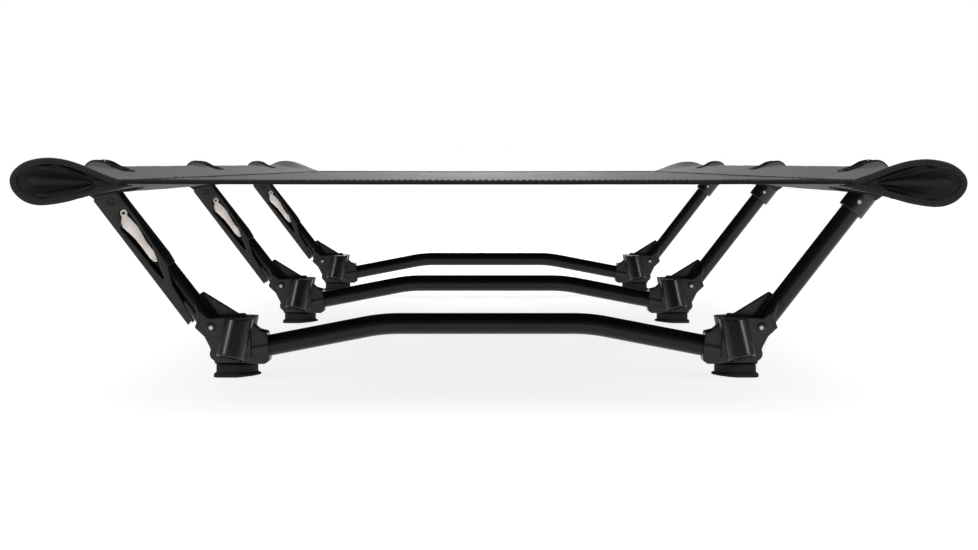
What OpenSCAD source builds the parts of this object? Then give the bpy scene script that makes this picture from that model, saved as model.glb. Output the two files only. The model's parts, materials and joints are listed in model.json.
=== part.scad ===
// Low folding camp cot: a fabric bed on two side poles, carried by three folding leg sets.
// Origin on the floor at the centre; X across, Y along the bed (foot end at -Y), Z up.

/* [Bed] */
// Overall width across both side sleeves
bed_width = 680; // [670:1:690]
// Overall length of the fabric
bed_length = 1900; // [1800:10:2000]
// Height of the side poles' centre line above the floor
pole_height = 166; // [164:1:168]
// Distance from the middle leg set to each outer leg set
leg_spacing = 648; // [600:2:680]

/* [Tubes] */
// Outside diameter of the side poles
pole_d = 20; // [19:0.5:20]
// Outside diameter of the bowed cross tubes
bow_d = 18; // [16.5:0.5:18]
// Outside diameter of the leaning uprights
post_d = 17.2; // [16.2:0.2:17.2]
// Wall thickness of every tube
tube_wall = 1.2; // [1:0.1:1.5]
// Height of the straight middle of the bowed tube
bow_height = 44.5; // [43:0.5:46]

/* [Legs] */
// Angle between an upright and the floor
lean = 52.3; // [52:0.1:53]
// Distance from an upright's pivot to the side pole's centre line
post_reach = 157.2; // [156:0.2:158]
// How far the leg sockets splay outward
socket_splay_x = 12; // [10:1:14]
// How far the leg sockets splay fore and aft
socket_splay_y = 13; // [11:1:15]
// Radius of the leg-extension sockets
socket_r = 8.3; // [8:0.1:8.5]
// Depth of the leg-extension sockets
socket_depth = 28; // [24:1:30]

/* [Lever] */
// Distance from an upright's pivot to the lever's pivot
lever_pivot_t = 135.4; // [135:0.1:136]
// Distance from an upright's pivot to the link's upper eye
link_eye_t = 121.3; // [121:0.1:122]
// Distance from an upright's pivot to the link's lower pin
link_pin_t = 75.3; // [75:0.1:76]
// Hook travel as the lever opens fully
hook_travel = 18.2; // [18:0.1:19]

/* [Hidden] */
LEGS = ["foot_leg", "middle_leg", "head_leg"];
LEG_PARTS = ["bow", "hub_left", "hub_right", "foot_left", "foot_right", "pivot_pins", "upright_left",
    "upright_right", "hook_left", "lever_pin", "lever", "links", "link_pin", "hook_right", "hook_rivet"];
POLE_SECTIONS = 4;
SIDES = ["left", "right"];

$fn = 64;
cut = 1;                  // how far a cutting shape runs past what it cuts
fit_gap = 0.35;           // gap between pieces that move apart
pin_play = 0.06;          // radial play of a pin in the piece that turns on it
fabric = 1.4;             // thickness of the doubled sleeve fabric
panel_t = 2;              // thickness of the bed panel

sleeve_r = pole_d / 2 + 0.3 + fabric;
pole_x = bed_width / 2 - sleeve_r;
pole_end = bed_length / 2 - 10;
section_l = 2 * pole_end / POLE_SECTIONS;
seam_x = 262;             // where the sleeve's two layers meet the bed panel
seam_z = pole_height + 0.4;
ear_l = 50;               // length over which a sleeve's end flares
ear_r = 16.4;             // radius of the flared end
ear_x = bed_width / 2 - ear_r;
ear_z = pole_height + 1;
slit_x = 292;             // inner edge of the cut-outs that the hooks reach through
slit_half = 18;           // half the length of a cut-out along the bed

post_r = post_d / 2;
pole_r = pole_d / 2;
bow_r = bow_d / 2;
pivot_x = pole_x - post_reach * cos(lean);
pivot_z = pole_height - post_reach * sin(lean);
pivot_pin_r = 1.8;
pivot_boss_r = 3.6;
post_foot = 9;            // how far an upright runs below its pivot

bow_flat = 73.7;          // half the straight middle stretch
bow_bend = 10.9;          // angle of each end stretch below the horizontal
bow_bend_r = 150;
bend_end = [bow_flat + bow_bend_r * sin(bow_bend), bow_height - bow_bend_r * (1 - cos(bow_bend))];
bow_end_x = 205;
bow_end_z = bend_end[1] - (bow_end_x - bend_end[0]) * tan(bow_bend);
bend_steps = 6;
bow_sides = 40;
round_steps = 24;         // points round a sleeve's section

wall_in = post_r + 0.35;  // inner face of a hub's cheeks
wall_out = 11.9;          // outer face of a hub's cheeks
hub_base = 11;            // underside of a hub, and top of its foot pad
boss_r = 12.2;            // round boss that holds the bow's end
boss_x = 184.8;           // inner end of that boss on the bow's axis
socket_wall = 3.5;
socket_top = 50.2;        // flat top of the leg sockets
mouth = [214, 29, 17];    // centre of a leg socket's mouth: outward, fore or aft, up
web_z = [16, 44];         // height of the webs that join the leg sockets to the cheeks
web_y = 22;               // reach of those webs from the middle of the hub
sweep_r = 13.2;           // clearance circle for an upright's foot
channel_z = 37.2;         // floor of the channel that an upright folds into
knuckle = [227.5, 19.5];
knuckle_r = 6;
flange_t = 3.4;           // thickness of a foot pad's flange
pad_r = 18.5;             // half the width of that flange, and its rounded inner end

cradle_r = pole_r + fit_gap;
cradle_wall = 3;
cradle_y = 12.5;          // half the length of a hook's saddle
inner_lip_t = post_reach + 11;
outer_lip_t = post_reach - 3;
hook_sleeve_r = 11.6;
hook_sleeve_t = [124.3, 146];
rivet_t = 133.9;
rivet_r = 1.7;
slider_r = 10.4;
slider_t = [63, 146];
slider_taper = 9;         // length of the slider's tapered lower end
neck_t = 143;             // underside of a hook's saddle
slider_play = 0.08;
post_top_left = 108;
post_top_right = 142;
lever_pin_r = 2.5;
link_pin_r = 1.8;
link_pin_n = 0.3;         // how far the link's pin and eye sit outside the upright's axis
link_eye_n = -1.7;
link_eye_r = 3.15;
link_y = [slider_r + 0.35, slider_r + 2.15];
lever_y = [link_y[1] + 0.3, link_y[1] + 2.8];
lever_back = [10.75, 12.2]; // faces of the lever's back at its upper end
lever_top_t = 147;
lever_notch_t = 31;       // the back starts here, clear of the hub when an upright folds

function side_sign(s) = s == "left" ? -1 : 1;

// Placement ---------------------------------------------------------------

module at_leg(i) translate([0, (i - 1) * leg_spacing, 0]) children();

module on_side(s) {
    if (s == "right") children();
    else mirror([1, 0, 0]) children();
}

// Frame of a leaning upright: Z runs up the upright from its pivot, X points outward and down.
module on_post() translate([pivot_x, 0, pivot_z]) rotate([0, 90 - lean, 0]) children();

// A profile drawn in X and Z, given thickness from y0 to y1.
module plate(y0, y1) translate([0, y1, 0]) rotate([90, 0, 0]) linear_extrude(y1 - y0) children();

module rod_y(r, length) rotate([90, 0, 0]) cylinder(r = r, h = length, center = true);

module tube(r, length) difference() {
    cylinder(r = r, h = length);
    translate([0, 0, -cut]) cylinder(r = r - tube_wall, h = length + 2 * cut);
}

// Frame of a leg socket: Z runs up its bore from the mouth; end is 1 for aft, -1 for fore.
module on_socket(end) translate([mouth[0], end * mouth[1], mouth[2]])
    rotate([end * socket_splay_y, -socket_splay_x, 0]) children();

// Frame of the bow's end stretch: Z runs outward and down along the tube from x.
module on_bow_end(x) translate([x, 0, bend_end[1] - (x - bend_end[0]) * tan(bow_bend)])
    rotate([0, 90 + bow_bend, 0]) children();

// A tube with a skin through the outer rings, a bore through the inner rings and a face at each end.
// Every ring has the same number of points, in the same order.
module hollow_sweep(outer, inner) {
    rings = len(outer);
    sides = len(outer[0]);
    points = [for (skin = [outer, inner]) for (ring = skin) each ring];
    function at(skin, k, j) = (skin * rings + k) * sides + j % sides;
    function quad(a, b, c, d) = [[a, b, c], [a, c, d]];
    skins = [for (k = [0:rings - 2]) for (j = [0:sides - 1])
        each concat(quad(at(0, k, j), at(0, k, j + 1), at(0, k + 1, j + 1), at(0, k + 1, j)),
            quad(at(1, k, j), at(1, k + 1, j), at(1, k + 1, j + 1), at(1, k, j + 1)))];
    ends = [for (j = [0:sides - 1])
        each concat(quad(at(0, 0, j + 1), at(0, 0, j), at(1, 0, j), at(1, 0, j + 1)),
            quad(at(0, rings - 1, j), at(0, rings - 1, j + 1), at(1, rings - 1, j + 1), at(1, rings - 1, j)))];
    polyhedron(points, concat(skins, ends));
}

// Leg set -----------------------------------------------------------------

// Stations along the bow's centre line from left to right: X, Z and slope.
function bow_stations() = concat(
    [[-bow_end_x, bow_end_z, bow_bend]],
    [for (k = [bend_steps:-1:0]) let (a = bow_bend * k / bend_steps)
        [-bow_flat - bow_bend_r * sin(a), bow_height - bow_bend_r * (1 - cos(a)), a]],
    [for (k = [0:bend_steps]) let (a = bow_bend * k / bend_steps)
        [bow_flat + bow_bend_r * sin(a), bow_height - bow_bend_r * (1 - cos(a)), -a]],
    [[bow_end_x, bow_end_z, -bow_bend]]);

// Ring of points of radius r around the centre line at station s.
function ring(s, r) = [for (j = [0:bow_sides - 1]) let (a = 360 * j / bow_sides)
    [s[0] - r * cos(a) * sin(s[2]), r * sin(a), s[1] + r * cos(a) * cos(s[2])]];

module bow() color("#151517") hollow_sweep([for (s = bow_stations()) ring(s, bow_r)],
    [for (s = bow_stations()) ring(s, bow_r - tube_wall)]);

// Outlines of a hub's cheeks, X outward and Z up. The aft cheek is the taller one.
module fore_cheek() polygon([[187, hub_base], [228.8, hub_base], [233.3, 25], [237.9, 34.1], [246, 41.7],
    [243.6, 48.8], [247.1, 67], [241.9, 56.5], [233.6, 50], [219.9, 51], [201.6, 51], [190.1, 39.4],
    [185, 37.9], [182.6, 18.1], [183.2, 13.5]]);

module aft_cheek() polygon([[187, hub_base], [228.8, hub_base], [235.7, 23.7], [240.3, 32.8], [248.4, 40.4],
    [246, 47.5], [249.5, 65.7], [241, 71.3], [211, 52.7], [205.5, 52.9], [201.6, 48.1], [192.5, 39.8],
    [185, 37.9], [182.6, 18.1], [183.2, 13.5]]);

// Solid between the cheeks, below the channel that an upright folds into.
module hub_core() polygon([[187, hub_base], [228.8, hub_base], [231.8, 20], [229, 33], [222, 33],
    [201, channel_z], [185, channel_z], [182.6, 18.1], [183.2, 13.5]]);

// Room for the upright above the core, as it turns from leaning outward to lying inward.
module channel() {
    plate(-wall_in, wall_in) polygon([[180, channel_z], [201, channel_z], [222, 33], [260, 33], [260, 90],
        [180, 90]]);
    translate([pivot_x, 0, pivot_z]) rod_y(sweep_r, 2 * wall_in);
}

module hub() color("#1d1d1f") difference() {
    union() {
        plate(-wall_out, -wall_in) fore_cheek();
        plate(wall_in, wall_out) aft_cheek();
        plate(-wall_in, wall_in) hub_core();
        intersection() {
            on_bow_end(boss_x) cylinder(r = boss_r, h = 20);
            translate([170, -20, hub_base]) cube([50, 40, 40]);
        }
        for (end = [-1, 1]) {
            intersection() {
                on_socket(end) cylinder(r = socket_r + socket_wall, h = 45);
                translate([180, -50, 0]) cube([60, 100, socket_top]);
            }
            translate([mouth[0] - 16, end > 0 ? wall_in : -web_y, web_z[0]])
                cube([16, web_y - wall_in, web_z[1] - web_z[0]]);
        }
        translate([knuckle[0], 0, knuckle[1]]) rod_y(knuckle_r, 2 * wall_out);
        translate([pivot_x, 0, pivot_z]) rod_y(pivot_boss_r, 2 * wall_out + 1);
    }
    channel();
    translate([pivot_x, 0, pivot_z]) rod_y(pivot_pin_r, 60);
    on_bow_end(boss_x - 6) cylinder(r = bow_r, h = (bow_end_x - boss_x + 6) / cos(bow_bend));
    for (end = [-1, 1]) on_socket(end) translate([0, 0, -cut]) cylinder(r = socket_r, h = socket_depth + cut);
}

// Plan of a foot pad from x0 to x1: rounded corners outward, a half round inward.
module pad_outline(x0, x1, half_y, r) {
    translate([x0 + half_y, 0]) circle(r = half_y);
    translate([x0 + half_y, -half_y]) square([x1 - x0 - half_y - r, 2 * half_y]);
    translate([x0 + half_y, -half_y + r]) square([x1 - x0 - half_y, 2 * (half_y - r)]);
    for (y = [-half_y + r, half_y - r]) translate([x1 - r, y]) circle(r = r);
}

module foot_pad() color("#1b1b1c") difference() {
    union() {
        linear_extrude(flange_t) pad_outline(191, 230, pad_r, 6);
        translate([0, 0, flange_t]) linear_extrude(hub_base - flange_t)
            pad_outline(193.6, 227.8, pad_r - 1.5, 5);
    }
    plate(-pad_r - cut, pad_r + cut) polygon([[190, -cut], [210, -cut], [210, 0], [190, 1.7]]);
}

module pivot_pins() color("#c9c8c4") for (s = SIDES) on_side(s)
    translate([pivot_x, 0, pivot_z]) rod_y(pivot_pin_r, 2 * wall_out + 2);

module upright(top) color("#151517") on_post() difference() {
    translate([0, 0, -post_foot]) tube(post_r, post_foot + top);
    rod_y(pivot_pin_r + pin_play, 30);
    if (top == post_top_left) translate([link_pin_n, 0, link_pin_t]) rod_y(link_pin_r, 30);
    else translate([0, 0, rivet_t]) rod_y(rivet_r, 30);
}

// Saddle that the side pole drops into; it opens along the upright.
module cradle() {
    wide = cradle_r + cradle_wall;
    difference() {
        plate(-cradle_y, cradle_y) polygon([[-10, neck_t], [10, neck_t], [12, neck_t + 6], [wide, outer_lip_t],
            [0, outer_lip_t], [0, inner_lip_t], [-wide, inner_lip_t], [-wide, neck_t + 8]]);
        translate([0, 0, post_reach]) rod_y(cradle_r, 2 * cradle_y + 2 * cut);
        plate(-cradle_y - cut, cradle_y + cut) translate([-cradle_r, post_reach]) square([2 * wide, 20]);
    }
}

module hook_right() color("#1d1d1f") on_post() difference() {
    union() {
        translate([0, 0, hook_sleeve_t[0]])
            cylinder(r = hook_sleeve_r, h = hook_sleeve_t[1] - hook_sleeve_t[0]);
        cradle();
    }
    translate([0, 0, hook_sleeve_t[0] - cut]) cylinder(r = post_r, h = post_top_right - hook_sleeve_t[0] + cut);
    translate([0, 0, rivet_t]) rod_y(rivet_r, 40);
}

module hook_rivet() color("#c9c8c4") on_side("right") on_post() translate([0, 0, rivet_t])
    rod_y(rivet_r, 2 * hook_sleeve_r + 0.8);

module hook_left() color("#1d1d1f") on_post() difference() {
    union() {
        translate([0, 0, slider_t[0]]) cylinder(r1 = post_r + 0.6, r2 = slider_r, h = slider_taper);
        translate([0, 0, slider_t[0] + slider_taper])
            cylinder(r = slider_r, h = slider_t[1] - slider_t[0] - slider_taper);
        cradle();
    }
    translate([0, 0, slider_t[0] - cut])
        cylinder(r = post_r + slider_play, h = post_top_left + hook_travel + 2 - slider_t[0]);
    translate([link_pin_n - link_pin_r - fit_gap, -20, slider_t[0] - cut])
        cube([2 * (link_pin_r + fit_gap), 40, link_pin_t + hook_travel + 3 - slider_t[0]]);
    translate([0, 0, lever_pivot_t]) rod_y(lever_pin_r, 40);
}

module lever_pin() color("#1d1d1f") on_post() translate([0, 0, lever_pivot_t])
    rod_y(lever_pin_r, 2 * lever_y[1] + 0.6);

module link_pin() color("#ddd6cc") on_post() translate([link_pin_n, 0, link_pin_t])
    rod_y(link_pin_r, 2 * link_y[1]);

module link_outline() {
    polygon([[-1.8, 123.7], [5, 116.4], [6.6, 111.9], [5.2, 104.7], [4.2, 98.3], [4.1, 88.3], [4.5, 77.8],
        [2.7, 72.4], [-1.9, 72.5], [-2.8, 77.2], [-2.1, 83.6], [-2.2, 91.4], [-4.3, 104.4], [-3.8, 112.6]]);
    translate([link_eye_n, link_eye_t]) circle(r = link_eye_r);
    translate([link_pin_n, link_pin_t]) circle(r = 3.6);
}

module links() color("#ece6dc") on_post() difference() {
    for (m = [0, 1]) mirror([0, m, 0]) plate(link_y[0], link_y[1]) link_outline();
    translate([link_pin_n, 0, link_pin_t]) rod_y(link_pin_r + pin_play, 40);
    translate([link_eye_n, 0, link_eye_t]) rod_y(1.3, 40);
}

// Side wall of the lever, X outward from the upright's axis and Z along it.
module lever_cheek() difference() {
    polygon([[12.2, 115], [13.3, 13.4], [6.7, 15.4], [2.8, 48.2], [-4.6, 65.4], [-7, 97.1], [-8.2, 111],
        [-8.7, lever_pivot_t], [-8.7, 144], [-6, lever_top_t], [9.4, lever_top_t], [11.9, 144]]);
    translate([link_eye_n, link_eye_t]) circle(r = link_eye_r + 0.8);
    polygon([[-5.6, link_eye_t], [2.2, link_eye_t], [8, 111.9], [7, 91.1], [6.6, 66], [5.6, 54], [2.6, 66],
        [-3.9, 85.2], [-5.5, 104]]);
}

module lever() color("#29292b") on_post() difference() {
    union() {
        for (m = [0, 1]) mirror([0, m, 0]) plate(lever_y[0], lever_y[1]) lever_cheek();
        plate(-lever_y[1], lever_y[1]) polygon([[lever_back[0], 115], [lever_back[1], 115],
            [lever_back[1] + 0.9, lever_notch_t], [lever_back[0] + 0.6, lever_notch_t]]);
    }
    translate([0, 0, lever_pivot_t]) rod_y(lever_pin_r + pin_play, 40);
}

// Side poles --------------------------------------------------------------

module along_pole(s, y) translate([side_sign(s) * pole_x, y, pole_height]) rotate([-90, 0, 0]) children();

module pole_section(s, k) color("#151517") along_pole(s, -pole_end + (k - 1) * section_l)
    tube(pole_r, section_l);

module pole_ferrules() color("#8a8c90") for (s = SIDES) for (k = [1:POLE_SECTIONS - 1])
    along_pole(s, -pole_end + k * section_l - 35) tube(pole_r - tube_wall, 70);

module pole_caps() color("#1d1d1f") for (s = SIDES) for (m = [0, 1]) mirror([0, m, 0])
    along_pole(s, -pole_end - 2) {
        cylinder(r = pole_r, h = 2);
        translate([0, 0, 2]) difference() {
            cylinder(r = pole_r - tube_wall, h = 14);
            translate([0, 0, 6]) cylinder(r = 3, h = 14);
        }
    }

module shock_cords() color("#3a3a3c") for (s = SIDES)
    along_pole(s, -pole_end + 6) cylinder(r = 2, h = 2 * pole_end - 12);

// Fabric ------------------------------------------------------------------

// Section of a sleeve: a round around c with two straight flanks that meet at the seam.
module teardrop(c, r, tip) {
    reach = norm(c - tip);
    half = asin(r / reach);
    aim = atan2(tip[1] - c[1], tip[0] - c[0]);
    translate(c) circle(r = r);
    polygon([tip, c + r * [cos(aim + 90 - half), sin(aim + 90 - half)], c,
        c + r * [cos(aim - 90 + half), sin(aim - 90 + half)]]);
}

// The same outline as a ring of points at y: the tip, then round the far side.
function teardrop_ring(c, r, tip, y) = let (reach = norm(c - tip), half = asin(r / reach),
        aim = atan2(tip[1] - c[1], tip[0] - c[0]))
    concat([[tip[0], y, tip[1]]], [for (k = [0:round_steps])
        let (a = aim + 90 - half + (180 + 2 * half) * k / round_steps)
        [c[0] + r * cos(a), y, c[1] + r * sin(a)]]);

// How far a sleeve has flared at y: 0 along its length, 1 at its ends.
function flare(y) = max(0, (abs(y) - bed_length / 2 + ear_l) / (ear_l - panel_t));

function sleeve_ring(y, inset) = let (f = flare(y), c = [pole_x, pole_height] * (1 - f) + [ear_x, ear_z] * f)
    teardrop_ring(c, sleeve_r + (ear_r - sleeve_r) * f - inset, [seam_x + 6 * inset, seam_z], y);

module sleeve() color("#232325") difference() {
    ends = bed_length / 2 - panel_t;
    stations = [-ends, -bed_length / 2 + ear_l, bed_length / 2 - ear_l, ends];
    hollow_sweep([for (y = stations) sleeve_ring(y, 0)], [for (y = stations) sleeve_ring(y, fabric)]);
    for (i = [0:2]) at_leg(i) translate([slit_x, -slit_half, 140]) cube([60, 2 * slit_half, 60]);
}

module end_panels() color("#1f1f21") for (s = SIDES) on_side(s) for (m = [0, 1]) mirror([0, m, 0])
    plate(-bed_length / 2, -bed_length / 2 + 2) teardrop([ear_x, ear_z], ear_r, [seam_x, seam_z]);

module bed_panel() color("#2b2b2d") translate([-seam_x, -bed_length / 2, seam_z - panel_t / 2])
    cube([2 * seam_x, bed_length, panel_t]);

// Drawing -----------------------------------------------------------------

for (i = [0:2]) at_leg(i) {
    bow();
    pivot_pins();
    for (s = SIDES) on_side(s) {
        hub();
        foot_pad();
    }
    on_side("left") upright(post_top_left);
    upright(post_top_right);
    on_side("left") hook_left();
    on_side("left") lever_pin();
    on_side("left") lever();
    on_side("left") links();
    on_side("left") link_pin();
    hook_right();
    hook_rivet();
}
for (s = SIDES) for (k = [1:POLE_SECTIONS])
    pole_section(s, k);
pole_ferrules();
pole_caps();
shock_cords();
bed_panel();
on_side("left") sleeve();  // sleeve_left
sleeve();  // sleeve_right
end_panels();
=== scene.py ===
"""Looks of a low folding camp cot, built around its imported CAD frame.

Metres, +X across the bed, +Y from foot end to head end, +Z up. The fabric, its seams, hems and bindings are
meshes of their own that ride on the sling; moulded pieces get rounded copies of their CAD shapes.
"""
import json
import math

import bmesh
import bpy
from mathutils import Matrix, Vector, noise

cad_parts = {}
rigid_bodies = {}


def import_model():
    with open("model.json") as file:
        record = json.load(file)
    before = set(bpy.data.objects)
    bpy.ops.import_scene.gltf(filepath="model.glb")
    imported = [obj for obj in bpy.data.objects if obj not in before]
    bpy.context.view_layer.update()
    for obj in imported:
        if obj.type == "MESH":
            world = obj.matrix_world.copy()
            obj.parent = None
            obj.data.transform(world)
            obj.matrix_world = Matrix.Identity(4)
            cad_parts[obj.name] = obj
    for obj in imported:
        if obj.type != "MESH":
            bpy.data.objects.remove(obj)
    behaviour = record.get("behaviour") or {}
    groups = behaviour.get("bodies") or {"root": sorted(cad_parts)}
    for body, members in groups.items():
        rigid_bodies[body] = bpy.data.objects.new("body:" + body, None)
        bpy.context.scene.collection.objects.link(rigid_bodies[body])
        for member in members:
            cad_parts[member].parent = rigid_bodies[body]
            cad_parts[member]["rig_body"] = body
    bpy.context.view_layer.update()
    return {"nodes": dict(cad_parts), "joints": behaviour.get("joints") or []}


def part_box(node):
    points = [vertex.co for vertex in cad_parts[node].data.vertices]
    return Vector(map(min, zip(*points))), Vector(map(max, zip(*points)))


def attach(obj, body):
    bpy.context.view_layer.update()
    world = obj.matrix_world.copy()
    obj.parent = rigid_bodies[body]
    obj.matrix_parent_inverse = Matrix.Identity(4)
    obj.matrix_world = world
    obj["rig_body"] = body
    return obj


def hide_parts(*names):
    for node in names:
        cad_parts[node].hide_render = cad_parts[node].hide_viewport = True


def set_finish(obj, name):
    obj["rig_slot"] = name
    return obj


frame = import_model()

MM = 0.001
LEGS = ("foot_leg", "middle_leg", "head_leg")
SIDES = {"left": -1, "right": 1}


def middle(node):
    low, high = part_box(node)
    return (low + high) / 2


# Sizes read from the frame -------------------------------------------------
LEG_Y = {leg: middle(f"{leg}_bow").y for leg in LEGS}
POLE = middle("pole_right_1")
BED_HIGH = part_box("bed_panel")[1]
SEAM_X = BED_HIGH.x
END_Y = BED_HIGH.y
BED_TOP = BED_HIGH.z
SLEEVE_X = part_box("sleeve_right")[1].x
SLEEVE_R = SLEEVE_X - POLE.x
LEG_SPACING = LEG_Y["middle_leg"] - LEG_Y["foot_leg"]
FOLD_PIVOT = Vector(next(j["pos_m"] for j in frame["joints"] if j["name"] == "foot_leg_fold_right"))
LEAN = math.atan2(POLE.z - FOLD_PIVOT.z, POLE.x - FOLD_PIVOT.x)  # of an upright, from the floor

# Sizes of the sewn work ----------------------------------------------------
CLOTH = 1.1 * MM          # one doubled layer of fabric
EAR_FLARE = 58 * MM       # length over which a sleeve opens out to its ear
EAR_PULL = {-1: -1.1 * MM, 1: 2.4 * MM}  # how far each side's ears lean outward
EAR_LIFT = {-1: 0.5 * MM, 1: -1.2 * MM}  # how much higher each side's ears sit
SHADED_END = 52 * MM            # length at a sleeve's ends that takes the darker ear cloth, painted shade
CUT_HALF = 18 * MM        # half the length of a cut-out for a hook
CUT_X = POLE.x - 28.3 * MM  # inner end of a cut-out on top
HOOK_ROOM = 7 * MM        # how much farther in a cut-out goes underneath, where an opened hook slides
# Cloth bunched beside a cut-out: each hump's middle, half width, height and squareness.
HUMPS = ((POLE.x - 3.8 * MM, 10.5 * MM, 4.6 * MM, 4), (POLE.x - 18.3 * MM, 4 * MM, 1.2 * MM, 2))
HUMP_REACH = 11 * MM      # how far along the bed the bunched cloth fades away
BINDING = 3.2 * MM        # width of the tape round a cut-out
STITCH = 3.2 * MM         # length of one stitch
HEM_DEPTH = 24 * MM       # of the fold at each end of the bed
SECTION_POINTS = 97       # points round a sleeve's section


# Materials -----------------------------------------------------------------
class Nodes:
    """Adds shader nodes to one material, with short calls."""

    def __init__(self, name):
        self.material = bpy.data.materials.new(name)
        self.material.use_nodes = True
        self.tree = self.material.node_tree
        self.shader = self.tree.nodes["Principled BSDF"]

    def add(self, kind, **values):
        made = self.tree.nodes.new(kind)
        for key, value in values.items():
            if hasattr(made, key):
                setattr(made, key, value)
            else:
                made.inputs[key.replace("_", " ")].default_value = value
        return made

    def link(self, source, target):
        self.tree.links.new(source, target)

    def math(self, operation, a, b=0.0):
        made = self.tree.nodes.new("ShaderNodeMath")
        made.operation = operation
        for socket, value in zip(made.inputs, (a, b)):
            if isinstance(value, (int, float)):
                socket.default_value = value
            else:
                self.link(value, socket)
        return made.outputs[0]

    def blend(self, a, b, share):
        """Two patterns added together, share of it from a."""
        return self.math("ADD", self.math("MULTIPLY", a, share), self.math("MULTIPLY", b, 1 - share))

    def place(self, scale=(1, 1, 1), rotation=(0, 0, 0)):
        source = self.add("ShaderNodeTexCoord")
        mapping = self.add("ShaderNodeMapping")
        mapping.inputs["Scale"].default_value = scale
        mapping.inputs["Rotation"].default_value = rotation
        self.link(source.outputs["Object"], mapping.inputs["Vector"])
        return mapping.outputs[0]

    def noise(self, place, scale, detail=3.0, roughness=0.5):
        made = self.add("ShaderNodeTexNoise", Scale=scale, Detail=detail, Roughness=roughness)
        self.link(place, made.inputs["Vector"])
        return made.outputs["Fac"]

    def ramp(self, fac, stops):
        made = self.add("ShaderNodeValToRGB")
        elements = made.color_ramp.elements
        while len(elements) < len(stops):
            elements.new(0.5)
        for element, (position, colour) in zip(elements, stops):
            element.position = position
            element.color = (*colour, 1) if len(colour) == 3 else (*colour * 3, 1)
        self.link(fac, made.inputs["Fac"])
        return made.outputs["Color"]

    def spread(self, fac, low, high):
        made = self.add("ShaderNodeMapRange")
        self.link(fac, made.inputs["Value"])
        made.inputs["To Min"].default_value = low
        made.inputs["To Max"].default_value = high
        return made.outputs[0]

    def bump(self, height, strength, distance, under=None):
        made = self.add("ShaderNodeBump", Strength=strength, Distance=distance)
        self.link(height, made.inputs["Height"])
        if under is not None:
            self.link(under, made.inputs["Normal"])
        return made.outputs["Normal"]

    def finish(self, colour=None, roughness=None, normal=None, **constants):
        for key, value in constants.items():
            self.shader.inputs[key.replace("_", " ")].default_value = value
        for socket, value in (("Base Color", colour), ("Roughness", roughness), ("Normal", normal)):
            if value is not None:
                self.link(value, self.shader.inputs[socket])
        return self.material


def shades(level, spread, tint=(1, 1, 1)):
    """A dark and a light stop around a grey level, for colour variation."""
    ends = ((0.3, 1 - spread), (0.7, 1 + spread))
    return [(position, tuple(level * share * t for t in tint)) for position, share in ends]


def weave(name, level, pitch, sheen, rough=0.62):
    """Close plain weave; its UVs are in metres along the two thread directions."""
    n = Nodes(name)
    uv = n.add("ShaderNodeTexCoord").outputs["UV"]
    split = n.add("ShaderNodeSeparateXYZ")
    n.link(uv, split.inputs[0])
    warp = n.math("SINE", n.math("MULTIPLY", split.outputs["X"], math.pi / pitch))
    weft = n.math("SINE", n.math("MULTIPLY", split.outputs["Y"], math.pi / pitch))
    threads = n.math("MULTIPLY_ADD", n.math("MULTIPLY", warp, weft), 0.5)
    threads.node.inputs[2].default_value = 0.5
    place = n.place()
    patches = n.noise(place, 14, 4, 0.6)
    slub = n.noise(n.place((60, 900, 900)), 1, 2)
    mix = n.math("ADD", n.math("MULTIPLY", patches, 0.62), n.math("MULTIPLY", threads, 0.2))
    mix = n.math("ADD", mix, n.math("MULTIPLY", slub, 0.18))
    colour = n.ramp(mix, shades(level, 0.22))
    rub = n.spread(n.noise(place, 45, 3), rough - 0.07, rough + 0.08)
    creases = n.bump(n.noise(place, 55, 4, 0.55), 0.18, 0.8 * MM)
    normal = n.bump(threads, 0.45, 0.12 * MM, creases)
    return n.finish(colour, rub, normal, Sheen_Weight=sheen, Sheen_Roughness=0.4,
                    Specular_IOR_Level=0.22, Sheen_Tint=(0.96, 0.97, 1, 1))


def moulded(name, level, rough):
    """Fine-grained moulded nylon with faint scuffs."""
    n = Nodes(name)
    place = n.place()
    cloud = n.noise(place, 35, 4, 0.6)
    grain = n.noise(place, 2600, 2)
    scuffs = n.noise(n.place((500, 90, 90), (0.4, 0.9, 0.2)), 1, 5, 0.7)
    colour = n.ramp(n.blend(cloud, scuffs, 0.7), shades(level, 0.3))
    rub = n.spread(n.blend(scuffs, cloud, 0.6), rough - 0.09, rough + 0.11)
    normal = n.bump(grain, 0.22, 0.12 * MM, n.bump(cloud, 0.06, 0.5 * MM))
    return n.finish(colour, rub, normal, Specular_IOR_Level=0.5)


def drawn_tube(name, level, metallic, rough, along):
    """Anodised drawn tube: fine streaks run along it. along is the rotation that lays the tube on X."""
    n = Nodes(name)
    streaks = n.noise(n.place((9, 700, 700), along), 1, 4, 0.6)
    cloud = n.noise(n.place(), 22, 3)
    nicks = n.noise(n.place((160, 800, 800), along), 1, 6, 0.75)
    colour = n.ramp(n.blend(streaks, cloud, 0.6), shades(level, 0.35, (1, 1, 1.05)))
    rub = n.spread(n.blend(streaks, nicks, 0.5), rough - 0.08, rough + 0.12)
    normal = n.bump(streaks, 0.04, 0.05 * MM, n.bump(nicks, 0.02, 0.06 * MM))
    return n.finish(colour, rub, normal, Metallic=metallic, Specular_IOR_Level=0.4)


def bright_metal(name, low, high, rough, grain=(900, 60, 900)):
    """Brushed or tumbled metal between two colours."""
    n = Nodes(name)
    lines = n.noise(n.place(grain, (0.3, 0.6, 0)), 1, 4, 0.6)
    cloud = n.noise(n.place(), 60, 3)
    colour = n.ramp(n.blend(lines, cloud, 0.5), [(0.3, low), (0.7, high)])
    rub = n.spread(lines, rough - 0.08, rough + 0.1)
    return n.finish(colour, rub, n.bump(lines, 0.1, 0.1 * MM), Metallic=0.85)


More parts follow.
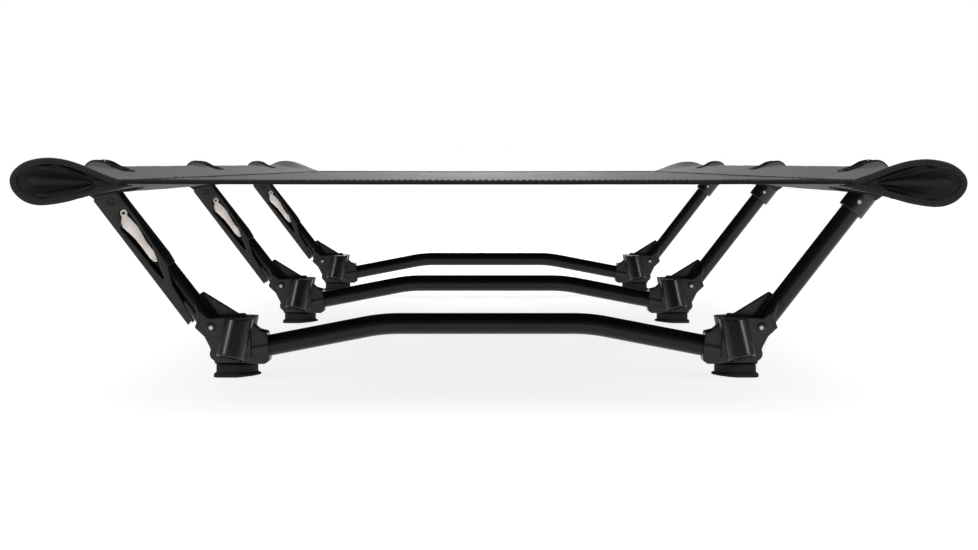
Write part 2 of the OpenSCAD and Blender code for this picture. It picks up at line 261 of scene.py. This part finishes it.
def rubber(name, level):
    n = Nodes(name)
    place = n.place()
    dust = n.noise(place, 70, 5, 0.65)
    grain = n.noise(place, 1500, 3)
    colour = n.ramp(dust, shades(level, 0.35, (1.02, 1, 0.98)))
    return n.finish(colour, n.spread(dust, 0.62, 0.85), n.bump(grain, 0.35, 0.2 * MM), Specular_IOR_Level=0.35)


def thread(name, level):
    n = Nodes(name)
    ply = n.add("ShaderNodeTexWave", Scale=900.0, Distortion=1.5)
    n.link(n.place(rotation=(0.6, 0.6, 0.6)), ply.inputs["Vector"])
    colour = n.ramp(ply.outputs["Fac"], shades(level, 0.3))
    return n.finish(colour, n.spread(ply.outputs["Fac"], 0.5, 0.7), n.bump(ply.outputs["Fac"], 0.4, 0.1 * MM),
                    Specular_IOR_Level=0.1)


def plain_floor(name):
    """White studio floor that glows a little, so that shadows on it stay faint."""
    n = Nodes(name)
    tone = n.ramp(n.noise(n.place(), 3, 2), [(0.3, (0.21, 0.21, 0.21)), (0.7, (0.23, 0.23, 0.23))])
    return n.finish(tone, n.spread(n.noise(n.place(), 120, 2), 0.5, 0.6), Specular_IOR_Level=0.15,
                    Emission_Color=(1, 1, 1, 1), Emission_Strength=0.84)


BED_CLOTH = weave("bed_cloth", 0.010, 0.55 * MM, 0.10)
SLEEVE_CLOTH = weave("sleeve_cloth", 0.013, 0.55 * MM, 0.07)
# A darker copy of the sleeve cloth: painted shade on the ear panels, their tails and the flared ends of the
# sleeves.
SHADED_EAR_CLOTH = weave("shaded_ear_cloth", 0.007, 0.55 * MM, 0.08)
TAPE = weave("binding_tape", 0.003, 0.8 * MM, 0.01, 0.75)
THREAD = thread("sewing_thread", 0.006)
NYLON = moulded("black_nylon", 0.006, 0.27)
LEVER_NYLON = moulded("charcoal_nylon", 0.013, 0.42)
BOW_TUBE = drawn_tube("bow_tube", 0.006, 0.3, 0.22, (0, 0, 0))
POST_TUBE = {s: drawn_tube(f"post_tube_{s}", 0.008, 0.3, 0.26, (0, SIDES[s] * LEAN, 0)) for s in SIDES}
POLE_TUBE = drawn_tube("pole_tube", 0.007, 0.3, 0.26, (0, 0, -math.pi / 2))
BARE_TUBE = bright_metal("bare_tube", (0.5, 0.5, 0.52), (0.66, 0.66, 0.68), 0.35, (900, 20, 900))
CHAMPAGNE = bright_metal("champagne_link", (0.88, 0.79, 0.73), (0.98, 0.91, 0.86), 0.42, (300, 60, 300))
STEEL = bright_metal("rivet_steel", (0.50, 0.49, 0.48), (0.68, 0.67, 0.66), 0.3)
RUBBER = rubber("foot_rubber", 0.008)
FLOOR = plain_floor("floor")


# Mesh helpers --------------------------------------------------------------
def piece(name, vertices, faces, material, slot, uvs=None):
    """A new mesh piece that rides on the sling. uvs holds one (u, v) in metres for each vertex."""
    mesh = bpy.data.meshes.new(name)
    mesh.from_pydata([tuple(v) for v in vertices], [], faces)
    mesh.validate()
    layer = mesh.uv_layers.new(name="cloth")
    if uvs:
        for loop in mesh.loops:
            layer.data[loop.index].uv = uvs[loop.vertex_index]
    mesh.polygons.foreach_set("use_smooth", [True] * len(mesh.polygons))
    mesh.materials.append(material)
    made = bpy.data.objects.new(name, mesh)
    bpy.context.scene.collection.objects.link(made)
    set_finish(made, slot)
    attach(made, "sling")
    return made


def modify(obj, kind, **settings):
    made = obj.modifiers.new(kind.lower(), kind)
    for key, value in settings.items():
        setattr(made, key, value)


def bake(obj):
    """Applies every modifier, leaving a plain mesh."""
    graph = bpy.context.evaluated_depsgraph_get()
    mesh = bpy.data.meshes.new_from_object(obj.evaluated_get(graph), depsgraph=graph)
    obj.modifiers.clear()
    obj.data = mesh
    return obj


def grid_faces(rows, columns, keep=lambda i, j: True, closed=False):
    """Quads of a grid stored row by row; closed joins the last column to the first."""
    faces = []
    for i in range(rows - 1):
        for j in range(columns if closed else columns - 1):
            if keep(i, j):
                k = (j + 1) % columns
                row, above = i * columns, (i + 1) * columns
                faces.append((row + j, row + k, above + k, above + j))
    return faces


def sweep(path, profile, frames, closed=False):
    """Vertices and faces of a closed profile carried along a path. frames gives two axes for each path point."""
    vertices = [p + a * u + b * v for p, (a, b) in zip(path, frames) for u, v in profile]
    count = len(profile)
    faces = grid_faces(len(path), count, closed=True)
    if closed:
        last = (len(path) - 1) * count
        faces += [(last + j, last + (j + 1) % count, (j + 1) % count, j) for j in range(count)]
    else:
        faces += [tuple(reversed(range(count))), tuple((len(path) - 1) * count + j for j in range(count))]
    return vertices, faces


def resample(points, count):
    """Points spread evenly along a polyline."""
    lengths = [0.0]
    for a, b in zip(points, points[1:]):
        lengths.append(lengths[-1] + (b - a).length)
    result, k = [], 0
    for i in range(count):
        want = lengths[-1] * i / (count - 1)
        while k < len(points) - 2 and lengths[k + 1] < want:
            k += 1
        span = lengths[k + 1] - lengths[k] or 1
        result.append(points[k].lerp(points[k + 1], min(1.0, (want - lengths[k]) / span)))
    return result


def curve_through(points, steps=14):
    """A smooth curve through every point, as a dense polyline."""
    ends = [points[0] * 2 - points[1], *points, points[-1] * 2 - points[-2]]
    dense = []
    for a, b, c, d in zip(ends, ends[1:], ends[2:], ends[3:]):
        for k in range(steps):
            t = k / steps
            bend = (2 * a - 5 * b + 4 * c - d) * t * t + (3 * b - a - 3 * c + d) * t ** 3
            dense.append(0.5 * (2 * b + (c - a) * t + bend))
    return dense + [points[-1]]


def smoothstep(t):
    t = min(1.0, max(0.0, t))
    return t * t * (3 - 2 * t)


# Sleeves -------------------------------------------------------------------
# An ear's outline, from the upper seam round to the lower one: millimetres from the outer edge of the
# sleeve and from the side pole's height.
EAR_OUTLINE = [(-80, 1.4), (-66.1, 6.4), (-51.6, 12.4), (-38.5, 16.2), (-25, 17.2), (-11.5, 14.4), (-2.8, 8),
               (-0.2, 1.2), (-2.6, -6), (-10, -12.6), (-21, -15.4), (-38, -13.4), (-55, -8.9), (-80, -3.2)]


def ear_section():
    points = [Vector((SLEEVE_X + x * MM, POLE.z + z * MM)) for x, z in EAR_OUTLINE]
    return resample(curve_through(points), SECTION_POINTS)


def run_section():
    """The sleeve's section along the bed: flanks that leave the seam and close round the pole."""
    tips = [Vector((SEAM_X, BED_TOP)), Vector((SEAM_X, BED_TOP - 2 * CLOTH))]
    centre, radius = Vector((POLE.x, POLE.z)), SLEEVE_R
    ends = []
    for tip, turn in zip(tips, (-1, 1)):
        away = tip - centre
        ends.append(math.atan2(away.y, away.x) % math.tau + turn * math.acos(radius / away.length))
    steps = 40
    arc = [centre + radius * Vector((math.cos(a), math.sin(a)))
           for a in (ends[0] + (ends[1] - math.tau - ends[0]) * k / steps for k in range(steps + 1))]
    return resample([tips[0], *arc, tips[1]], SECTION_POINTS)


EAR = ear_section()
RUN = run_section()


def section(y):
    """Outline of the sleeve at y, right-hand side, as (x, z) points from the upper seam to the lower one."""
    share = smoothstep(1 - (END_Y - abs(y)) / EAR_FLARE) ** 1.15
    return [a.lerp(b, share) for a, b in zip(RUN, EAR)]


def leg_distance(y):
    return min(abs(y - leg_y) for leg_y in LEG_Y.values())


def pucker(y, s):
    """Small pulls in the sleeve: towards its ears and round the cut-outs. s runs 0 to 1 round the section."""
    to_end = END_Y - abs(y)
    edge = math.exp(-(to_end / 0.05) ** 2)
    near = math.exp(-(leg_distance(y) / 0.06) ** 2)
    drift = noise.noise(Vector((y * 14, s * 5, 1.7)))
    ripple = math.sin(leg_distance(y) * 210 + 5 * drift) * near * math.sin(math.pi * s)
    pull = math.sin(s * 26 + y * 9 + 3 * drift) * edge
    slack = math.exp(-(to_end / 0.16) ** 2) * smoothstep((s - 0.6) / 0.15) * smoothstep((1 - s) / 0.04)
    twist = math.sin(s * 70 + to_end * 30 + 2 * drift) * slack
    return MM * (0.25 * drift + 0.32 * ripple + 0.4 * pull * math.sin(math.pi * s) + 0.9 * twist)


def stations():
    """Places along the bed: close together at the ears and the cut-outs."""
    marks = {-END_Y, END_Y}
    y = -END_Y
    while y < END_Y - 2 * MM:
        near = min(END_Y - abs(y), leg_distance(y) - CUT_HALF)
        y += min(12 * MM, max(3 * MM, 0.25 * near))
        marks.add(min(y, END_Y))
    for leg_y in LEG_Y.values():
        marks = {m for m in marks if abs(abs(m - leg_y) - CUT_HALF) > 1.4 * MM}
        marks |= {leg_y - CUT_HALF, leg_y + CUT_HALF}
    return sorted(marks)


STATIONS = stations()
TOP_CUT = next(i for i, p in enumerate(RUN) if p.x > CUT_X)
LOW_CUT = SECTION_POINTS - 1 - next(i for i, p in enumerate(reversed(RUN)) if p.x > CUT_X - HOOK_ROOM)


def bunch(x, z, y):
    """How far the cloth stands up beside a cut-out, where it is pulled over the top of the pole."""
    if z < POLE.z:
        return 0.0
    beside = math.exp(-(max(0.0, leg_distance(y) - CUT_HALF) / HUMP_REACH) ** 2)
    return beside * sum(height * math.exp(-((x - at) / wide) ** power) for at, wide, height, power in HUMPS)


def lean_out(sign, p, share):
    """Moves a point of an ear outward and up or down, more so the farther it is from the seam."""
    share *= (p.x - SEAM_X) / (SLEEVE_X - SEAM_X)
    return Vector((p.x + EAR_PULL[sign] * share, p.y + EAR_LIFT[sign] * share))


def sleeve_point(sign, y, i):
    share = smoothstep(1 - (END_Y - abs(y)) / EAR_FLARE)
    points = [lean_out(sign, p, share) for p in section(y)]
    p = points[i]
    along = points[min(i + 1, SECTION_POINTS - 1)] - points[max(i - 1, 0)]
    out = Vector((-along.y, along.x)).normalized()
    p = p + out * (pucker(y, i / (SECTION_POINTS - 1)) + bunch(p.x, p.y, y))
    return Vector((sign * p.x, y, p.y)), Vector((sign * out.x, 0, out.y))


def in_cut(i, j):
    """Whether the quad at station i, section point j lies in a hook's cut-out."""
    y = (STATIONS[i] + STATIONS[i + 1]) / 2
    return leg_distance(y) < CUT_HALF and TOP_CUT <= j < LOW_CUT


def sleeve(side):
    sign = SIDES[side]
    vertices, uvs = [], []
    for y in STATIONS:
        length = 0.0
        previous = None
        for i in range(SECTION_POINTS):
            point, _ = sleeve_point(sign, y, i)
            if previous is not None:
                length += (point - previous).length
            previous = point
            vertices.append(point)
            uvs.append((length, y))
    faces = grid_faces(len(STATIONS), SECTION_POINTS, keep=lambda i, j: not in_cut(i, j))
    if sign < 0:
        faces = [tuple(reversed(f)) for f in faces]
    made = piece(f"sleeve_cloth_{side}", vertices, faces, SLEEVE_CLOTH, "sleeve_fabric", uvs)
    drop_loose(made)
    # The flared ends of the sleeve take the darker ear cloth: painted shade.
    made.data.materials.append(SHADED_EAR_CLOTH)
    for polygon in made.data.polygons:
        polygon.material_index = int(abs(polygon.center.y) > END_Y - SHADED_END)
    modify(made, "SOLIDIFY", thickness=CLOTH, offset=-1, use_even_offset=False)
    bake(made)
    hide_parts(f"sleeve_{side}")


def drop_loose(obj):
    """Removes vertices that no face uses."""
    shape = bmesh.new()
    shape.from_mesh(obj.data)
    bmesh.ops.delete(shape, geom=[v for v in shape.verts if not v.link_faces], context="VERTS")
    shape.to_mesh(obj.data)
    shape.free()


for side in SIDES:
    sleeve(side)


# Bed -----------------------------------------------------------------------
def bed_dip(x, y):
    """Height of the taut bed below its seams, with pulls from each hook."""
    across = 1 - (x / SEAM_X) ** 2
    span = 0.5 - 0.5 * math.cos(math.tau * min(1.0, 2 * leg_distance(y) / LEG_SPACING))
    drift = noise.noise(Vector((x * 5, y * 3, 0.4)))
    pull = math.exp(-(leg_distance(y) / 0.09) ** 2) * math.exp(-((SEAM_X - abs(x)) / 0.07) ** 2)
    ripple = math.sin(leg_distance(y) * 150 + x * 20) * pull
    ends = smoothstep((END_Y - abs(y)) / 0.05)
    return -MM * across * (0.4 + 0.9 * span) + MM * ends * (0.6 * drift * across + 0.45 * ripple)


def bed():
    columns = [-SEAM_X + 2 * SEAM_X * i / 96 for i in range(97)]
    rows = [-END_Y + 1.5 * MM + (2 * END_Y - 3 * MM) * j / 260 for j in range(261)]
    vertices = [Vector((x, y, BED_TOP - CLOTH + bed_dip(x, y))) for y in rows for x in columns]
    uvs = [(x, y) for y in rows for x in columns]
    made = piece("bed_cloth", vertices, grid_faces(len(rows), len(columns)), BED_CLOTH, "bed_fabric", uvs)
    modify(made, "SOLIDIFY", thickness=CLOTH, offset=1)
    bake(made)
    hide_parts("bed_panel")
    return made


BED = bed()


def rounded_strip(width, thickness, steps=4):
    """Profile of a flat tape with rounded edges, centred on its own middle."""
    r = thickness / 2
    points = []
    for centre, start in ((width / 2 - r, -math.pi / 2), (-width / 2 + r, math.pi / 2)):
        turns = [start + math.pi * k / steps for k in range(steps + 1)]
        points += [(centre + r * math.cos(a), r * math.sin(a)) for a in turns]
    return points


def strip_uvs(path, profile):
    """UVs along a swept strip: round its profile, and along its path."""
    uvs, length = [], 0.0
    for k, p in enumerate(path):
        if k:
            length += (p - path[k - 1]).length
        uvs += [(u, length) for u, _ in profile]
    return uvs


def tape(name, path, frames, width, thickness, material=TAPE, closed=False, slot="sleeve_fabric"):
    profile = rounded_strip(width, thickness)
    vertices, faces = sweep(path, profile, frames, closed)
    return piece(name, vertices, faces, material, slot, strip_uvs(path, profile))


def stitches(name, path, ups, length=STITCH, gap=1.3 * MM, thick=0.38 * MM):
    """A row of short raised stitches along a path; ups gives the surface normal at each path point."""
    lengths = [0.0]
    for a, b in zip(path, path[1:]):
        lengths.append(lengths[-1] + (b - a).length)
    vertices, faces, start, k = [], [], 0.0, 0

    def at(want):
        nonlocal k
        while k < len(path) - 2 and lengths[k + 1] < want:
            k += 1
        share = min(1.0, max(0.0, (want - lengths[k]) / (lengths[k + 1] - lengths[k] or 1)))
        return path[k].lerp(path[k + 1], share), ups[k].lerp(ups[k + 1], share).normalized()

    while start + length < lengths[-1]:
        base = len(vertices)
        for share, size in ((0, 0.35), (0.2, 1), (0.8, 1), (1, 0.35)):
            p, up = at(start + length * share)
            q, _ = at(start + length * share + 0.3 * MM)
            along = (q - p).normalized() if (q - p).length > 1e-9 else Vector((0, 1, 0))
            across = along.cross(up).normalized()
            lift = up * (0.18 * MM if 0 < share < 1 else -0.1 * MM)
            vertices += [p + lift + across * thick * size * c + up * thick * size * s
                         for c, s in ((1, 0), (0.5, 0.85), (-0.5, 0.85), (-1, 0), (0, -0.6))]
        for ring in range(3):
            a, b = base + 5 * ring, base + 5 * ring + 5
            faces += [(a + j, a + (j + 1) % 5, b + (j + 1) % 5, b + j) for j in range(5)]
        faces += [tuple(base + j for j in reversed(range(5))), tuple(base + 15 + j for j in range(5))]
        start += length + gap
    return piece(name, vertices, faces, THREAD, "sleeve_fabric")


UP = Vector((0, 0, 1))
X_AXIS = Vector((1, 0, 0))
Y_AXIS = Vector((0, 1, 0))


def side_seams():
    """A lapped tape along each seam between bed and sleeve, with two rows of stitches."""
    for side, sign in SIDES.items():
        rows = [y for y in STATIONS if abs(y) < END_Y - 6 * MM]
        x = sign * (SEAM_X - 3 * MM)
        path = [Vector((x, y, BED_TOP + bed_dip(x, y) + 0.1 * MM)) for y in rows]
        tape(f"seam_tape_{side}", path, [(X_AXIS * -1, UP)] * len(path), 11 * MM, 0.7 * MM, SLEEVE_CLOTH)
        for number, offset in enumerate((-3.4 * MM, 3.4 * MM)):
            line = [p + X_AXIS * offset + UP * 0.5 * MM for p in path]
            stitches(f"seam_stitches_{side}_{number + 1}", line, [UP] * len(line))


def hems():
    """The folded hem at each end of the bed, with two rows of stitches."""
    made = []
    for end, sign in (("foot", -1), ("head", 1)):
        half = SEAM_X + 5 * MM
        xs = [-half + 2 * half * i / 120 for i in range(121)]
        y = sign * (END_Y - HEM_DEPTH / 2)
        path = [Vector((x, y, BED_TOP - 0.5 * MM + bed_dip(x, sign * END_Y)
                        + 0.12 * MM * noise.noise(Vector((x * 30, sign, 0))))) for x in xs]
        frames = [(Y_AXIS, UP)] * len(path)
        made.append(tape(f"hem_{end}", path, frames, HEM_DEPTH, 2.9 * MM, slot="bed_fabric"))
        for number, offset in enumerate((4 * MM, HEM_DEPTH - 3.5 * MM)):
            line = [Vector((p.x, sign * (END_Y - offset), p.z + 1.42 * MM)) for p in path]
            stitches(f"hem_stitches_{end}_{number + 1}", line, [UP] * len(line))
    return made


side_seams()
hems()


def ear_end(side, end):
    """The gathered panel that closes an ear, its rim tape and its stitches."""
    sign, way = SIDES[side], (-1 if end == "foot" else 1)
    outline = [lean_out(sign, p, 1) for p in EAR]
    corner = Vector((SEAM_X + 12 * MM, POLE.z + 0.3 * MM))
    rings = 26
    vertices, uvs = [], []
    for k in range(rings):
        q = k / (rings - 1)
        for i, p in enumerate(outline):
            s = i / (SECTION_POINTS - 1)
            flat = corner.lerp(p, q)
            drift = noise.noise(Vector((s * 7, q * 2, way + 3 * sign)))
            fan = math.sin(s * 44 + 1.3 + drift) + 0.7 * math.sin(s * 71 + 0.4 - drift) + 0.9 * drift
            folds = 3.2 * MM * fan * (1 - q) ** 0.4 * min(1.0, 4 * q) * smoothstep((1 - q) / 0.3)
            hollow = 2.2 * MM * math.sin(math.pi * min(1.0, q * 1.06))
            groove = 1.7 * MM * math.exp(-((q - 0.83) / 0.03) ** 2)
            vertices.append(Vector((sign * flat.x, way * (END_Y - 0.8 * MM - hollow - groove - folds), flat.y)))
            uvs.append((flat.x, flat.y))
    faces = grid_faces(rings, SECTION_POINTS)
    if sign * way > 0:
        faces = [tuple(reversed(f)) for f in faces]
    # The panel takes the darker ear cloth: painted shade.
    panel = piece(f"ear_panel_{side}_{end}", vertices, faces, SHADED_EAR_CLOTH, "sleeve_fabric", uvs)
    modify(panel, "SOLIDIFY", thickness=CLOTH, offset=-1, use_even_offset=False)
    bake(panel)

    path, frames, face_path = [], [], []
    for i, p in enumerate(outline):
        along = outline[min(i + 1, SECTION_POINTS - 1)] - outline[max(i - 1, 0)]
        inward = Vector((along.y, 0, -along.x)).normalized()
        inward = Vector((sign * inward.x, 0, inward.z))
        rim = Vector((sign * p.x, way * (END_Y + 0.1 * MM), p.y))
        path.append(rim + inward * 1.5 * MM)
        frames.append((inward, Y_AXIS * way))
        face_path.append(rim + inward * 2.2 * MM + Y_AXIS * way * 0.75 * MM)
    tape(f"ear_rim_{side}_{end}", path, frames, 4.4 * MM, 1.7 * MM, SLEEVE_CLOTH)
    tail = [Vector((sign * (SEAM_X + 17 * MM - 27 * MM * k / 12), way * (END_Y - 1.2 * MM),
                    POLE.z - 1.2 * MM - 0.5 * MM * k / 12)) for k in range(13)]
    taper = [max(0.12, math.cos(0.5 * math.pi * k / 12)) for k in range(13)]
    frames = [(UP * w, Y_AXIS * way * w) for w in taper]
    # The tail takes the darker ear cloth: painted shade.
    tape(f"ear_tail_{side}_{end}", tail, frames, 7 * MM, 2.2 * MM, SHADED_EAR_CLOTH)
    stitches(f"ear_stitches_{side}_{end}", face_path, [Y_AXIS * way] * len(face_path),
             length=2.4 * MM, gap=1 * MM, thick=0.24 * MM)
    return panel


for side in SIDES:
    panels = [ear_end(side, end) for end in ("foot", "head")]
    if side == "left":
        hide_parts("end_panels")


# Cut-outs ------------------------------------------------------------------
def cut_binding(side, leg):
    """Tape round the edge of a hook's cut-out, standing a little proud of the sleeve."""
    sign, leg_y = SIDES[side], LEG_Y[leg]
    inside = [k for k, y in enumerate(STATIONS) if abs(y - leg_y) < CUT_HALF + 0.01 * MM]
    first, last = inside[0], inside[-1]
    loop = [(STATIONS[first], i) for i in range(TOP_CUT, LOW_CUT + 1)]
    loop += [(STATIONS[k], LOW_CUT) for k in range(first + 1, last)]
    loop += [(STATIONS[last], i) for i in range(LOW_CUT, TOP_CUT - 1, -1)]
    loop += [(STATIONS[k], TOP_CUT) for k in range(last - 1, first, -1)]
    path, outs = [], []
    for y, i in loop:
        point, out = sleeve_point(sign, y, i)
        path.append(point + out * 0.4 * MM)
        outs.append(out)
    for _ in range(2):
        path = [(path[k - 1] + 2 * path[k] + path[(k + 1) % len(path)]) / 4 for k in range(len(path))]
    frames = []
    for k, out in enumerate(outs):
        along = (path[(k + 1) % len(path)] - path[k - 1]).normalized()
        across = along.cross(out).normalized()
        frames.append((across, out))
    tape(f"cut_binding_{side}_{leg}", path, frames, BINDING, 2.3 * MM, closed=True)


for side in SIDES:
    for leg in LEGS:
        cut_binding(side, leg)


# Rigid pieces --------------------------------------------------------------
def rounded(node, material, slot, voxel, smooth):
    """A copy of a moulded CAD piece with its edges softened, standing for that node."""
    source = frame["nodes"][node]
    mesh = source.data.copy()
    mesh.materials.clear()
    made = bpy.data.objects.new(f"{node}_moulding", mesh)
    bpy.context.scene.collection.objects.link(made)
    modify(made, "REMESH", mode="VOXEL", voxel_size=voxel, use_smooth_shade=True)
    modify(made, "SMOOTH", factor=0.5, iterations=smooth)
    modify(made, "DECIMATE", ratio=0.25)
    bake(made)
    made.data.materials.append(material)
    made.data.polygons.foreach_set("use_smooth", [True] * len(made.data.polygons))
    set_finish(made, slot)
    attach(made, source["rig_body"])
    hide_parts(node)
    return made


def repeat(first, node, leg_from, leg_to):
    """The same moulding on another leg set."""
    mesh = first.data.copy()
    mesh.transform(Matrix.Translation((0, LEG_Y[leg_to] - LEG_Y[leg_from], 0)))
    made = bpy.data.objects.new(f"{node}_moulding", mesh)
    bpy.context.scene.collection.objects.link(made)
    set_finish(made, first["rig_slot"])
    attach(made, frame["nodes"][node]["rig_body"])
    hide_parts(node)


MOULDINGS = {
    "hub_left": (NYLON, "black_plastic", 0.55 * MM, 5), "hub_right": (NYLON, "black_plastic", 0.55 * MM, 5),
    "hook_left": (NYLON, "black_plastic", 0.5 * MM, 4), "hook_right": (NYLON, "black_plastic", 0.5 * MM, 4),
    "lever": (LEVER_NYLON, "lever_plastic", 0.5 * MM, 4), "foot_left": (RUBBER, "foot_rubber", 0.6 * MM, 6),
    "foot_right": (RUBBER, "foot_rubber", 0.6 * MM, 6), "links": (CHAMPAGNE, "link_metal", 0.35 * MM, 3),
}
for part, (material, slot, voxel, smooth) in MOULDINGS.items():
    first = rounded(f"{LEGS[0]}_{part}", material, slot, voxel, smooth)
    for leg in LEGS[1:]:
        repeat(first, f"{leg}_{part}", LEGS[0], leg)


FINISHES = {
    "bow": BOW_TUBE, "upright_left": POST_TUBE["left"], "upright_right": POST_TUBE["right"],
    "lever_pin": NYLON, "link_pin": CHAMPAGNE, "pins": STEEL, "rivet": STEEL,
    "ferrules": BARE_TUBE, "caps": NYLON, "cords": TAPE,
}


def finish_of(node):
    """The material of a CAD node that stays as it is."""
    return next((material for ending, material in FINISHES.items() if node.endswith(ending)), POLE_TUBE)


for name, node in frame["nodes"].items():
    node.data.materials.clear()
    node.data.materials.append(finish_of(name))
    if not name.endswith(("caps", "pins", "pin", "rivet")):
        node.data.polygons.foreach_set("use_smooth", [True] * len(node.data.polygons))


# Stage ---------------------------------------------------------------------
def stage():
    mesh = bpy.data.meshes.new("floor")
    shape = bmesh.new()
    bmesh.ops.create_grid(shape, x_segments=8, y_segments=8, size=30)
    shape.to_mesh(mesh)
    shape.free()
    floor = bpy.data.objects.new("floor", mesh)
    bpy.context.scene.collection.objects.link(floor)
    mesh.materials.append(FLOOR)

    world = bpy.data.worlds.new("studio")
    bpy.context.scene.world = world
    world.use_nodes = True
    light_world(world.node_tree)


def light_world(tree):
    """White to the eye. As a light it is bright above and behind, and dim from the foot end."""
    background = tree.nodes["Background"]
    background.inputs["Color"].default_value = (1, 1, 1, 1)
    split = tree.nodes.new("ShaderNodeSeparateXYZ")
    tree.links.new(tree.nodes.new("ShaderNodeTexCoord").outputs["Generated"], split.inputs[0])

    def ramp(source, *ends):
        made = tree.nodes.new("ShaderNodeMapRange")
        tree.links.new(source, made.inputs["Value"])
        for socket, value in zip(("From Min", "From Max", "To Min", "To Max"), ends):
            made.inputs[socket].default_value = value
        return made.outputs[0]

    def math_of(operation, *sources):
        made = tree.nodes.new("ShaderNodeMath")
        made.operation = operation
        for socket, source in zip(made.inputs, sources):
            tree.links.new(source, socket)
        return made.outputs[0]

    # The light from behind falls off to the sides, so that the bed is brightest along its middle.
    falloff = ramp(math_of("ABSOLUTE", split.outputs["X"]), 0.0, 0.4, 1.0, 0.3)
    behind = math_of("MULTIPLY", falloff, ramp(split.outputs["Y"], -0.5, 0.9, 0.09, 1.0))
    brightest = math_of("MAXIMUM", behind, ramp(split.outputs["Z"], 0.1, 1.0, 0.09, 1.0))
    to_the_eye = tree.nodes.new("ShaderNodeLightPath").outputs["Is Camera Ray"]
    tree.links.new(math_of("MAXIMUM", brightest, to_the_eye), background.inputs["Strength"])


def area_light(name, place, target, size, power):
    """A rectangular light that faces its target."""
    light = bpy.data.lights.new(name, "AREA")
    light.shape = "RECTANGLE"
    light.size, light.size_y = size
    light.energy = power
    made = bpy.data.objects.new(name, light)
    bpy.context.scene.collection.objects.link(made)
    made.location = place
    made.rotation_euler = (Vector(target) - Vector(place)).to_track_quat("-Z", "Y").to_euler()


def camera():
    """Beyond the foot end, at bed height, with a long lens."""
    lens = bpy.data.cameras.new("camera")
    lens.sensor_width = 36
    lens.lens = 82.93
    made = bpy.data.objects.new("camera", lens)
    bpy.context.scene.collection.objects.link(made)
    made.location = (0, -2.5555, 0.180)
    made.rotation_euler = (math.radians(90 - 2.83), 0, math.radians(-0.07))
    bpy.context.scene.camera = made


stage()
area_light("key", (0, 0.2, 3.2), (0, 0, 0.1), (3.5, 3.5), 60)
area_light("left", (-2.4, -1.9, 1.6), (0, -0.5, 0.1), (0.7, 1.2), 24)
area_light("right", (2.4, -1.9, 1.6), (0, -0.5, 0.1), (0.7, 1.2), 24)
area_light("glow", (0, 3.4, 1.0), (0, 0, 0.16), (0.5, 0.7), 13)
camera()
bpy.context.scene.view_settings.view_transform = "Standard"

bpy.context.view_layer.update()
